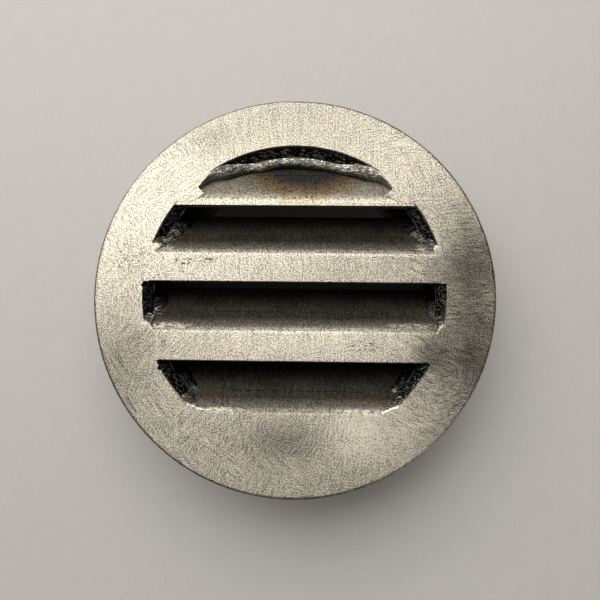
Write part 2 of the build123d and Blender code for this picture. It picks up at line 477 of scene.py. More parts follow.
def bead_tree_of(name, stations):
    tree, given = new_tree(name, {
        "Ripple Pitch": 1.8 * MM, "Ripple Height": 0.15 * MM, "Lump Height": 0.2 * MM,
        "Lump Size": 3.0 * MM, "Ground Level": 1.0, "Seed": 0.0})
    nodes, links = tree.nodes, tree.links
    grid = nodes.new("GeometryNodeMeshGrid")
    grid.inputs["Vertices X"].default_value = stations
    grid.inputs["Vertices Y"].default_value = SECTION + 3
    index = Wire(tree, nodes.new("GeometryNodeInputIndex").outputs[0])
    station = (index / (SECTION + 3)).math("FLOOR")
    step = index - station * (SECTION + 3)
    over = (step / SECTION).math("MINIMUM", 1.0)
    at_root = step.math("COMPARE", SECTION + 1.0, 0.1)
    closing = step.math("COMPARE", SECTION + 2.0, 0.1)
    over = over * closing.flipped()

    def at_station(attribute, kind="FLOAT_VECTOR"):
        named = nodes.new("GeometryNodeInputNamedAttribute")
        named.data_type = kind
        named.inputs["Name"].default_value = attribute
        sample = nodes.new("GeometryNodeSampleIndex")
        sample.data_type = kind
        sample.domain = "POINT"
        links.new(given["Geometry"].socket, sample.inputs["Geometry"])
        value = [s for s in named.outputs if s.enabled][0]
        target = [s for s in sample.inputs if s.enabled and s.name == "Value"][0]
        links.new(value, target)
        links.new(station.socket, sample.inputs["Index"])
        return [s for s in sample.outputs if s.enabled][0]

    toe_a = axes_of(tree, at_station("toe_a"))
    toe_b = axes_of(tree, at_station("toe_b"))
    crown = axes_of(tree, at_station("crown"))
    root = axes_of(tree, at_station("root"))
    out = axes_of(tree, at_station("outward"))
    run = Wire(tree, at_station("run", "FLOAT"))
    size = Wire(tree, at_station("size", "FLOAT"))

    # a smooth arch from toe to toe
    back = over.flipped()
    weight_a = back * back
    weight_c = over * back * 2.0
    weight_b = over * over
    arch = [a * weight_a + c * weight_c + b * weight_b for a, c, b in zip(toe_a, crown, toe_b)]

    # ripples: each is an arc that trails at the toes, and no two are spaced alike
    middle = weight_c * 2.0
    bow = (over - 0.5) * (over - 0.5) * 9.0
    seed = given["Seed"]
    wander = noise(tree, vector_of(tree, run / (7.0 * MM), seed, 0.0), 1.0) * 2.4
    phase = run / given["Ripple Pitch"] + bow + wander
    ripple = (phase * (2 * pi)).math("SINE")
    crest = ripple.math("ABSOLUTE").flipped() - 0.4
    spot = [value / given["Lump Size"] for value in arch]
    lump = noise(tree, vector_of(tree, spot[0], spot[1], spot[2] + seed), 3.0) - 0.5
    lift = (crest * given["Ripple Height"] + lump * given["Lump Height"] * 2.0) * middle.clamped() * size
    skin = [a + o * lift for a, o in zip(arch, out)]
    hull = [s * at_root.flipped() + r * at_root for s, r in zip(skin, root)]
    level = given["Ground Level"]
    hull[2] = hull[2].math("MINIMUM", level)

    move = nodes.new("GeometryNodeSetPosition")
    links.new(grid.outputs["Mesh"], move.inputs["Geometry"])
    links.new(vector_of(tree, *hull), move.inputs["Position"])
    keep = nodes.new("GeometryNodeStoreNamedAttribute")
    keep.data_type = "FLOAT"
    keep.domain = "POINT"
    keep.inputs["Name"].default_value = "over"
    links.new(move.outputs[0], keep.inputs["Geometry"])
    feed(tree, over, keep.inputs["Value"])
    end_tree(tree, keep.outputs[0], given["Material"])
    return tree


def skeleton(name, rows):
    """A chain of points with the weld's measures; rows hold toe_a, toe_b, crown, root, size."""
    count = len(rows)
    mesh = bpy.data.meshes.new(name)
    mesh.vertices.add(count)
    toe_a, toe_b, crown, root, size = (np.array([r[k] for r in rows], float) for k in range(5))
    mid = (toe_a + toe_b + crown) / 3
    steps = np.linalg.norm(np.diff(mid, axis=0), axis=1)
    run = np.concatenate([[0], np.cumsum(steps)])
    away = mid - root
    away /= np.maximum(np.linalg.norm(away, axis=1, keepdims=True), 1e-9)
    vectors = {"toe_a": toe_a, "toe_b": toe_b, "crown": crown, "root": root, "outward": away}
    for label, data in vectors.items():
        mesh.attributes.new(label, "FLOAT_VECTOR", "POINT").data.foreach_set("vector", data.ravel())
    for label, data in {"run": run, "size": size}.items():
        mesh.attributes.new(label, "FLOAT", "POINT").data.foreach_set("value", data)
    mesh.vertices.foreach_set("co", mid.ravel())
    return mesh, float(run[-1])


# %% [markdown]
# ## From a list of stations to a bead
#
# Every weld below gives a list of rows. This lays one bead over them. Beads with the same
# number of stations share one tree.

# %% Helpers: lay a bead, swell and ease
trees = {}


def lay_bead(name, rows, pitch, ripple, lump, lump_size=3.0 * MM, level=1.0, seed=0.0, ring=False):
    """One bead over rows of (toe_a, toe_b, crown, root, size); a ring has no ends to close."""
    if not ring:
        # both ends run together in the root, so the skin is closed
        for end in (0, -1):
            root = rows[end][3]
            rows[end] = (root, root, root, root, 0.0)
    mesh, length = skeleton(name, rows)
    if len(rows) not in trees:
        trees[len(rows)] = bead_tree_of(f"weld bead, {len(rows)} stations", len(rows))
    settings = {"Ripple Pitch": pitch, "Ripple Height": ripple, "Lump Height": lump,
                "Lump Size": lump_size, "Ground Level": level, "Seed": seed}
    return run_tree(trees[len(rows)], mesh, settings, finish["weld_bead"], name)


def swell(t, ends=0.12):
    """Bead size along its run: from a point at each end to full size."""
    x = min(1.0, min(t, 1 - t) / ends)
    return sqrt(max(0.0, x * (2 - x)))


def eased(value, start, end):
    """0 at start and 1 at end, smooth between."""
    x = min(1.0, max(0.0, (value - start) / (end - start)))
    return x * x * (3 - 2 * x)


def wobble_of(rng, count, knots, most):
    """A wandering value at each of count stations: a hand never holds the torch quite still."""
    return np.interp(np.linspace(0, 1, count), np.linspace(0, 1, knots), rng.uniform(-most, most, knots))


# %% [markdown]
# ## Cheek welds, in the corners between blade and pipe
#
# The corner follows the blade's bent section and the round pipe at once. The toe on the
# blade and the toe on the wall are set off along each surface, square to the corner.

# %% Lay the six cheek welds
CHEEK_LEGS = {"upper": (4.6, 3.4), "middle": (4.2, 2.8), "lower": (4.0, 3.2)}
CHEEK_STATIONS = 90
LEAD_IN = 1.4 * MM
SLOPE_RUN = 17.2 * MM
BURIED = 0.08 * MM
RISE_STATIONS = 5


def blade_point(start, bend_radius, angle, s):
    """(y, depth, turn) of a blade's outer surface at distance s past the start of its bend."""
    arc = bend_radius * angle
    if s < 0:
        return start + s, 0.0, 0.0
    if s < arc:
        turn = s / bend_radius
        return start + bend_radius * sin(turn), bend_radius * (1 - cos(turn)), turn
    more = s - arc
    y = start + bend_radius * sin(angle) + more * cos(angle)
    return y, bend_radius * (1 - cos(angle)) + more * sin(angle), angle


def corner(start, bend_radius, angle, s, side):
    """Corner point between blade and well, with the two plates' normals, at distance s."""
    y, depth, turn = blade_point(start, bend_radius, angle, s)
    r = BORE_R - PIPE_WALL * eased(depth / MM, 2.6, 5.2)
    x = side * sqrt(max(r * r - y * y, 0))
    point = np.array([x, y, FACE_Z - depth])
    blade_normal = np.array([0, sin(turn), cos(turn)])
    wall_normal = np.array([-x / r, -y / r, 0.0])
    return point, blade_normal, wall_normal


def cheek_rows(start, side, leg, s_from, s_to, seed):
    """Rows of one cheek weld; side is -1 for left and 1 for right, leg is in mm."""
    rng = np.random.default_rng(seed)
    wobble = wobble_of(rng, CHEEK_STATIONS, 9, 0.14)
    rows = []
    for k in range(CHEEK_STATIONS):
        t = k / (CHEEK_STATIONS - 1)
        s = s_from + (s_to - s_from) * t
        point, nb, nw = corner(start, BEND_R, BLADE_ANGLE, s, side)
        ahead, _, _ = corner(start, BEND_R, BLADE_ANGLE, s + 0.01 * MM, side)
        along = (ahead - point) / np.linalg.norm(ahead - point)
        on_blade = np.cross(nb, along)
        on_blade *= 1 if on_blade @ nw > 0 else -1
        size = min(1.0, sqrt(max(0.0, (1 - t) / 0.22)))
        reach = leg * MM * size * (1 + wobble[k]) * (0.5 + 0.5 * eased(s, 1.5 * MM, 6.0 * MM))
        toe_a = point + on_blade * reach - nb * BURIED

        # up the wall; over the pipe's end where the pipe stops short of the bead
        depth = FACE_Z - point[2]
        wall = max(0.0, depth - PLATE)
        over_end = min(PIPE_WALL, max(0.0, reach - wall)) if depth > PLATE else 0.0
        low_fill = depth + 0.3 * MM - 0.6 * max(0.0, depth - 0.4 * MM)
        climb = min(reach, low_fill) if depth <= PLATE else min(reach, wall)
        over_edge = 0.6 * MM * size * (1 - eased(depth, 0.6 * MM, 1.4 * MM))
        toe_b = point - nw * (over_end + BURIED + over_edge) + np.array([0, 0, climb])
        middle = (toe_a + toe_b) / 2
        away = (nb + nw) / np.linalg.norm(nb + nw)
        crown = middle + away * 0.18 * reach
        root = point - (nb + nw) * 0.3 * MM * size - nw * over_end * 0.5
        # the run begins inside the metal, so its first end never shows
        inside = point - (nb + nw) * 0.9 * MM
        rise = min(1.0, k / RISE_STATIONS)
        toe_a, toe_b, crown, root = (inside + (p - inside) * rise for p in (toe_a, toe_b, crown, root))
        rows.append((toe_a, toe_b, crown, root, size))
    return rows


for number, (word, legs) in enumerate(CHEEK_LEGS.items()):
    arc = BEND_R * BLADE_ANGLE
    for hand, side, leg in zip(("left", "right"), (-1, 1), legs):
        seed = 10 + 2 * number + (side > 0)
        rows = cheek_rows(blade_start[word], side, leg, -LEAD_IN, arc + SLOPE_RUN, seed)
        piece = lay_bead(f"{word}_cheek_bead_{hand}", rows, 2.1 * MM, 0.10 * MM, 0.25 * MM,
                         level=FACE_Z + PROUD, seed=seed)
        hand_over(piece, f"{word}_cheek_weld_{hand}")

# %% [markdown]
# ## The closing weld over the top blade
#
# One long bead closes the top blade against the pipe. Towards its ends the corner climbs to
# the face, so the bead fills the bore there and was ground flush with the face.

# %% Lay the closing weld
CLOSING_STATIONS = 420
CLOSING_LEG = 3.3 * MM
TIP_ANGLE = radians(53.9)
FILL_FROM = radians(16)
FLUSH_FROM = radians(33)
# the ground tips' inner edge: angle from the top in degrees, radius in mm
FILL_EDGE = ((33.0, 57.6), (42.8, 55.5), (46.5, 55.2), (53.9, 57.6))


def closing_rows():
    """Rows of the closing weld, from the left tip over the top to the right tip."""
    rng = np.random.default_rng(5)
    wobble = wobble_of(rng, CLOSING_STATIONS, 26, 0.10)
    arc = TOP_BEND_R * TOP_ANGLE
    bend_end_y, bend_end_depth, _ = blade_point(TOP_BEND_Y, TOP_BEND_R, TOP_ANGLE, arc)

    def top_surface(y):
        """Depth of the top blade's outer surface at height y."""
        if y > bend_end_y:
            return bend_end_depth + (y - bend_end_y) * tan(TOP_ANGLE)
        lift = max(0.0, min(1.0, (y - TOP_BEND_Y) / TOP_BEND_R))
        return TOP_BEND_R * (1 - cos(asin(lift)))

    rows = []
    for k in range(CLOSING_STATIONS):
        t = k / (CLOSING_STATIONS - 1)
        phi = -TIP_ANGLE + 2 * TIP_ANGLE * t
        bearing = np.array([sin(phi), cos(phi), 0.0])
        fill = eased(abs(phi), FILL_FROM, FLUSH_FROM)
        flush = eased(abs(phi), FLUSH_FROM, radians(38))
        size = min(1.0, (TIP_ANGLE - abs(phi)) / radians(3.0))
        root_r = PIPE_R + PIPE_WALL * fill
        edge_r = np.interp(degrees(abs(phi)), *zip(*FILL_EDGE)) * MM
        bead_r = PIPE_R - CLOSING_LEG * (1 + wobble[k]) + 1.3 * MM * fill
        blend = eased(abs(phi), radians(42.5), radians(46.0))
        leaving = eased(abs(phi), radians(28), radians(43))
        toe_r = bead_r * (1 - leaving) + (edge_r - 0.9 * MM) * leaving
        toe_a = bearing * toe_r
        feather = np.array([-copysign(5.0 * MM * blend, phi), 0.0, 0.0])
        toe_a = toe_a + feather
        toe_a[1] = max(toe_a[1], TOP_BEND_Y + 0.2 * MM)
        toe_a[2] = FACE_Z - top_surface(toe_a[1]) - 0.06 * MM
        toe_b = bearing * (root_r + 0.1 * MM + 0.6 * MM * flush)
        toe_b[2] = PIPE_TOP_Z - 0.1 * MM + (PLATE + 0.4 * MM * flush) * fill
        crown_r = (toe_r + 0.25 * MM) * (1 - flush) + (edge_r + 0.1 * MM) * flush
        crown = bearing * crown_r + feather * 0.4
        hollow = 1.5 * MM * fill * (1 - flush)
        heaped = 1.6 * MM * flush * size * (1 - 0.75 * blend)
        crown[2] = toe_b[2] - 0.1 * MM - hollow + heaped
        root = bearing * (root_r + 0.3 * MM)
        root[2] = FACE_Z - top_surface(root_r * cos(phi)) - 0.8 * MM * size
        inside = bearing * (root_r - 1.0 * MM) + np.array([0, 0, root[2] - 0.6 * MM])
        rise = min(1.0, k / RISE_STATIONS, (CLOSING_STATIONS - 1 - k) / RISE_STATIONS)
        toe_a, toe_b, crown, root = (inside + (p - inside) * rise for p in (toe_a, toe_b, crown, root))
        rows.append((toe_a, toe_b, crown, root, 1 - 0.8 * flush))
    return rows


piece = lay_bead("closing_bead", closing_rows(), 1.7 * MM, 0.28 * MM, 0.34 * MM, 1.6 * MM,
                 level=FACE_Z + PROUD, seed=3)
hand_over(piece, "top_closing_weld")

# %% [markdown]
# ## Seal beads on the end of the pipe
#
# Where a slot leaves the pipe's end open inside the bore, a small bead seals it to the ring.
# Each bead is an arc, from one blade's edge to the next blade's slope.

# %% Lay the seal beads
SEAL_STATIONS = 120
SEAL_LEG = 2.9
SLOT_PITCH = 30 * MM
TOP_SEAL_HALF = radians(31)


def seal_rows(angle_from, angle_to, seed, climb=1.12):
    """Rows of one seal bead between two angles about the axis."""
    rng = np.random.default_rng(seed)
    wobble = wobble_of(rng, SEAL_STATIONS, 12, 0.25)
    rows = []
    for k in range(SEAL_STATIONS):
        t = k / (SEAL_STATIONS - 1)
        angle = angle_from + (angle_to - angle_from) * t
        out = np.array([cos(angle), sin(angle), 0.0])
        size = swell(t, 0.08)
        leg = (SEAL_LEG + wobble[k]) * MM * size
        rise = leg * climb
        base = out * BORE_R
        toe_a = base - out * leg + np.array([0, 0, PIPE_TOP_Z - 0.05 * MM])
        toe_b = base + out * 0.05 * MM + np.array([0, 0, PIPE_TOP_Z + rise])
        crown = base - out * leg * 0.55 + np.array([0, 0, PIPE_TOP_Z + rise * 0.55])
        root = base + out * 0.2 * MM * size + np.array([0, 0, PIPE_TOP_Z - 0.2 * MM * size])
        rows.append((toe_a, toe_b, crown, root, size))
    return rows


seal_parts = []
for number, word in enumerate(("upper", "middle", "lower")):
    top_y = TOP_EDGE_Y - number * SLOT_PITCH
    slope_y = blade_start[word] + BEND_R * tan(BLADE_ANGLE / 2) + PLATE
    from_angle = asin((slope_y - 1.5 * MM) / BORE_R)
    to_angle = asin((top_y + 2.5 * MM) / BORE_R)
    for side in (-1, 1):
        seed = 30 + 2 * number + (side > 0)
        ends = (from_angle, to_angle) if side > 0 else (pi - to_angle, pi - from_angle)
        rows = seal_rows(*ends, seed)
        part = lay_bead(f"seal_{seed}", rows, 1.7 * MM, 0.16 * MM, 0.45 * MM, 1.8 * MM, seed=seed)
        seal_parts.append(part)
rows = seal_rows(pi / 2 - TOP_SEAL_HALF, pi / 2 + TOP_SEAL_HALF, 41, 0.8)
seal_parts.append(lay_bead("seal_top", rows, 1.7 * MM, 0.20 * MM, 0.40 * MM, 1.8 * MM, seed=41))


def joined(parts, name):
    """Several plain pieces as one mesh object."""
    work = bmesh.new()
    for part in parts:
        work.from_mesh(part.data)
        bpy.data.objects.remove(part)
    mesh = bpy.data.meshes.new(name)
    work.to_mesh(mesh)
    work.free()
    mesh.materials.append(finish["seal_bead"])
    mesh.shade_smooth()
    mesh.set_sharp_from_angle(angle=SHARP_ANGLE)
    piece = bpy.data.objects.new(name, mesh)
    bpy.context.scene.collection.objects.link(piece)
    return piece


hand_over(joined(seal_parts, "seal_beads"), "inner_seal_welds")

# %% [markdown]
# ## The fillet weld behind the ring
#
# It runs all the way round the pipe, so its last station is its first again and the skin
# closes on itself.

# %% Lay the fillet weld behind the ring
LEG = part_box("spigot_fillet_weld")[1].x - BORE_R
BACK_Z = ring_low.z
FILLET_STATIONS = 900
KNOTS = 70
rng = np.random.default_rng(7)
knots = rng.uniform(-0.09, 0.09, KNOTS)
knots[-1] = knots[0]
wobble = np.interp(np.linspace(0, 1, FILLET_STATIONS), np.linspace(0, 1, KNOTS), knots)
rows = []
for k in range(FILLET_STATIONS):
    angle = 2 * pi * k / (FILLET_STATIONS - 1)
    out = np.array([cos(angle), sin(angle), 0.0])
    leg = LEG * (1 + wobble[k]) * 0.96
    toe_a = out * (BORE_R + leg) + np.array([0, 0, BACK_Z + 0.05 * MM])
    toe_b = out * (BORE_R - 0.05 * MM) + np.array([0, 0, BACK_Z - leg])
    crown = out * (BORE_R + leg * 0.56) + np.array([0, 0, BACK_Z - leg * 0.56])
    root = out * (BORE_R - 0.4 * MM) + np.array([0, 0, BACK_Z + 0.4 * MM])
    rows.append((toe_a, toe_b, crown, root, 1.0))
piece = lay_bead("back_fillet_bead", rows, 2.2 * MM, 0.16 * MM, 0.16 * MM, seed=8, ring=True)
hand_over(piece, "spigot_fillet_weld")


# %% [markdown]
# ## Finishes
#
# Every finish is worked out from the position on the object in millimetres, so grinding
# marks run on from ring to bar without a seam, as they do when one disc passes over both.

# %% Helpers: what the finishes share
def begin(material):
    """The tree, its shader node and the position in millimetres as three wires."""
    tree = material.node_tree
    shader = tree.nodes["Principled BSDF"]
    place = tree.nodes.new("ShaderNodeTexCoord")
    scale = tree.nodes.new("ShaderNodeVectorMath")
    scale.operation = "SCALE"
    scale.inputs["Scale"].default_value = 1000.0
    tree.links.new(place.outputs["Object"], scale.inputs[0])
    return tree, shader, *axes_of(tree, scale.outputs[0])


def mixed(tree, share, first, second):
    """A colour between two colours; each is a tuple or a colour socket."""
    node = tree.nodes.new("ShaderNodeMix")
    node.data_type = "RGBA"
    feed(tree, share, node.inputs[0])
    for value, socket in ((first, node.inputs[6]), (second, node.inputs[7])):
        if isinstance(value, tuple):
            socket.default_value = (*value, 1.0)
        else:
            tree.links.new(value, socket)
    return node.outputs[2]


def scaled_colour(tree, colour, amount):
    """A colour socket times a value."""
    node = tree.nodes.new("ShaderNodeVectorMath")
    node.operation = "SCALE"
    tree.links.new(colour, node.inputs[0])
    feed(tree, amount, node.inputs["Scale"])
    return node.outputs[0]


def bumped(tree, shader, height_mm):
    """Feeds a height in millimetres to the shader's normal."""
    bump = tree.nodes.new("ShaderNodeBump")
    bump.inputs["Strength"].default_value = 1.0
    bump.inputs["Distance"].default_value = MM
    feed(tree, height_mm, bump.inputs["Height"])
    tree.links.new(bump.outputs[0], shader.inputs["Normal"])


def arcs(tree, x, y, z, centre, across, along, seed):
    """Scratches that curve about a centre; across and along are their sizes in mm."""
    dx = x - centre[0]
    dy = y - centre[1]
    distance = (dx * dx + dy * dy).math("SQRT")
    swing = dy.math("ARCTAN2", dx) * sqrt(centre[0] ** 2 + centre[1] ** 2)
    return noise(tree, vector_of(tree, distance / across, swing / along, z * 0.3 + seed), 3.0, 0.6)


def spot(x, y, centre, size, soft=0.5):
    """1 inside an ellipse and 0 outside, with a soft edge; all in mm."""
    dx = (x - centre[0]) / size[0]
    dy = (y - centre[1]) / size[1]
    return (dx * dx + dy * dy).math("SQRT").ramp(1.0 + soft, 1.0 - soft)


# %% [markdown]
# ## Where the face is brighter or duller: uneven grinding and painted reflection
#
# A hand-held grinder never leaves an even face, and a polished face mirrors an unevenly lit
# room. A few soft round places give both: uneven grinding, and painted reflection and shade
# of the lamp and the dim side of the room. Each is a bell shape, so neighbours run into
# one another.

# %% Bright and dull places: uneven grinding and painted reflection
# each place left brighter or duller, by grinding and by painted reflection and shade:
# centre, reach in mm, change of tone
GRINDING_AND_REFLECTION_PLACES = (
    ((66, 6), (14, 28), -0.55),     # the long dark right side: painted reflection of the dim room
    ((66, -27), (12, 14), -0.50),
    ((50, -24), (6, 7), -0.60),
    ((0, 72), (70, 26), -0.30),     # top and lower left: painted shade on the lamp's reflection
    ((-32, 60), (9, 6), -0.15),
    ((-66, -26), (13, 22), -0.30),
    ((30, -40), (40, 30), 0.45),    # the lower right, brightened: painted lamp light
    ((30, -52), (12, 10), 1.00),
    ((-2, -55), (17, 8), -0.55),
    ((24, -19), (14, 6), 0.60),     # the bars' middles, brightened: painted reflection
    ((-8, -19), (22, 6), 0.25),
    ((54, 20), (5, 7), 0.25),
)
FACE_TONE = 0.88


def grinding_and_painted_reflection(x, y):
    """How bright each place is: even, but for soft places of uneven grinding and painted reflection."""
    total = x * 0.0 + FACE_TONE
    for centre, reach, change in GRINDING_AND_REFLECTION_PLACES:
        dx = (x - centre[0]) / reach[0]
        dy = (y - centre[1]) / reach[1]
        total = total + ((dx * dx + dy * dy) * -1.0).math("EXPONENT") * change
    return total.math("MAXIMUM", 0.12)


print("places left bright or dull:", len(GRINDING_AND_REFLECTION_PLACES))


# %% [markdown]
# ## Weld metal, heat tint and small marks
#
# Weld metal freezes in ripples with dark oxide between them. Beside a weld the heat leaves
# thin oxide, whose colour tells how hot the steel became. Small marks are ellipses broken
# up by a ragged noise, so that no outline is ever a clean oval.

# %% Helpers: weld metal, tint and marks
def near(value, centre, half, soft):
    """1 where a value is within half of centre, falling to 0 over soft."""
    return (value - centre).math("ABSOLUTE").ramp(half + soft, half)


def marks_in(x, y, places, ragged, soft):
    """The sum of a list of marks, each an ellipse with a gain, broken up by a ragged mask."""
    total = x * 0.0
    for centre, size, gain in places:
        total = total + spot(x, y, centre, size, soft) * gain
    return total * ragged


def weld_surface(tree, x, y, z):
    """Tone and height (mm) of weld metal as it froze: worm-like ripples, specks and oxide."""
    worm = noise(tree, vector_of(tree, x / 1.8, y / 0.75, z / 0.75), 3.0, 0.55)
    vein = (worm - 0.5).math("ABSOLUTE").ramp(0.0, 0.07)
    oxide = noise(tree, vector_of(tree, x / 2.6, y / 2.6, z / 2.6 + 7.0), 2.0)
    tone = worm.ramp(0.42, 0.62) * 1.3 + oxide * 0.8 + vein * 0.3 - 0.45
    return tone, worm * 0.35 + vein * 0.06, oxide


# straw, brown, violet and blue follow one another towards the heat
TINT_STOPS = ((0.00, (0.34, 0.36, 0.35)), (0.28, (0.27, 0.30, 0.31)), (0.40, (0.20, 0.23, 0.32)),
              (0.50, (0.34, 0.27, 0.26)), (0.62, (0.60, 0.46, 0.33)), (0.80, (0.84, 0.74, 0.58)),
              (1.00, (1.0, 1.0, 1.0)))


def heat_tint(tree, x, y, waver):
    """Oxide colours beside the closing weld, as a multiplier for the metal's colour."""
    dx = (x - 3.6) / 27.0
    dy = (y - 52.0) / 19.0
    distance = (dx * dx + dy * dy).math("SQRT") + (waver - 0.5) * 0.12
    node = tree.nodes.new("ShaderNodeValToRGB")
    stops = node.color_ramp.elements
    while len(stops) < len(TINT_STOPS):
        stops.new(0.5)
    for stop, (position, colour) in zip(stops, TINT_STOPS):
        stop.position = position
        stop.color = (*colour, 1.0)
    feed(tree, distance, node.inputs[0])
    return node.outputs[0]


def multiplied(tree, first, second):
    """The product of two colour sockets."""
    node = tree.nodes.new("ShaderNodeVectorMath")
    node.operation = "MULTIPLY"
    tree.links.new(first, node.inputs[0])
    tree.links.new(second, node.inputs[1])
    return node.outputs[0]


# centre and size in mm, then how strong: smeared weld metal, browned steel, pits
WELD_SMEARS = (
    ((-47.5, -13.2), (8.0, 1.1), 0.62),
    ((44.5, -12.6), (9.0, 1.0), 0.55),
    ((-26.5, -44.3), (7.5, 0.9), 0.60),
    ((25.0, -44.4), (9.0, 0.8), 0.60),
    ((-49.0, 17.0), (2.6, 1.2), 0.60),
    ((48.5, 17.5), (2.2, 1.6), 0.60),
)
BROWNED = (
    ((-39.5, 22.0), (5.5, 3.5), 0.55),
    ((38.5, 22.0), (5.0, 3.5), 0.45),
    ((-48.0, -7.0), (1.6, 4.0), 0.5),
    ((47.0, -8.0), (1.6, 4.0), 0.4),
    ((-30.0, -39.0), (8.0, 1.6), 0.5),
    ((26.0, -40.5), (10.0, 1.2), 0.8),
)
PITS = (
    ((-42.5, 11.2), (4.5, 1.4), -0.9),
    ((-33.0, 11.8), (2.5, 1.1), -0.9),
    ((27.0, -20.4), (8.0, 2.2), -0.7),
    ((-62.0, 12.0), (6.0, 7.0), -0.5),
    ((-55.0, -20.0), (7.0, 5.0), -0.4),
)


# %% [markdown]
# ## Grinding marks
#
# A disc swings about the arm that holds it, so its scratches are arcs about a far centre.
# Three passes with three centres take turns over the face. Along the bars the disc ran
# upright, and below the face the same streaks become the rolled skin's direction.

# %% Helper: grinding marks
def grinding_marks(tree, x, y, z, upright_below):
    """Scratches of three passes, and upright streaks on the bars and below the face."""
    pass_one = arcs(tree, x, y, z, (70.0, -120.0), 0.74, 4.5, 1.0)
    pass_two = arcs(tree, x, y, z, (-150.0, -20.0), 0.66, 4.0, 5.0)
    pass_three = arcs(tree, x, y, z, (110.0, 90.0), 0.78, 5.0, 9.0)
    where = noise(tree, vector_of(tree, x / 26.0, y / 26.0, 3.0), 1.0)
    share = where.ramp(0.42, 0.58)
    swirl = pass_one * share + pass_two * share.flipped()
    where_too = noise(tree, vector_of(tree, x / 18.0, y / 18.0, 8.0), 1.0).ramp(0.5, 0.62)
    swirl = swirl * where_too.flipped() + pass_three * where_too
    upright = noise(tree, vector_of(tree, x / 0.60, (y - z * 1.4) / 14.0, 2.0), 3.0, 0.6)
    on_bars = y.ramp(-34.0, -24.0) * x.math("ABSOLUTE").ramp(46.0, 28.0)
    uprightness = (on_bars * 0.5).math("MAXIMUM", upright_below)
    return swirl * uprightness.flipped() + upright * uprightness


# %% [markdown]
# ## Ground plate, and the welds that were ground with it
#
# One function serves three finishes. Plate is bright on the face and dull on the slopes,
# which the disc never reached, and painted shade darkens each bend's start and the slopes.
# Tinted plate adds the oxide colours. A weld is as laid inside the slots and bright wherever
# it reaches the face; the closing bead carries a painted highlight along its crown.

# %% Ground plate, tinted plate and weld beads
SCRATCH_X = 66.0
BRIGHTEST = 1.9


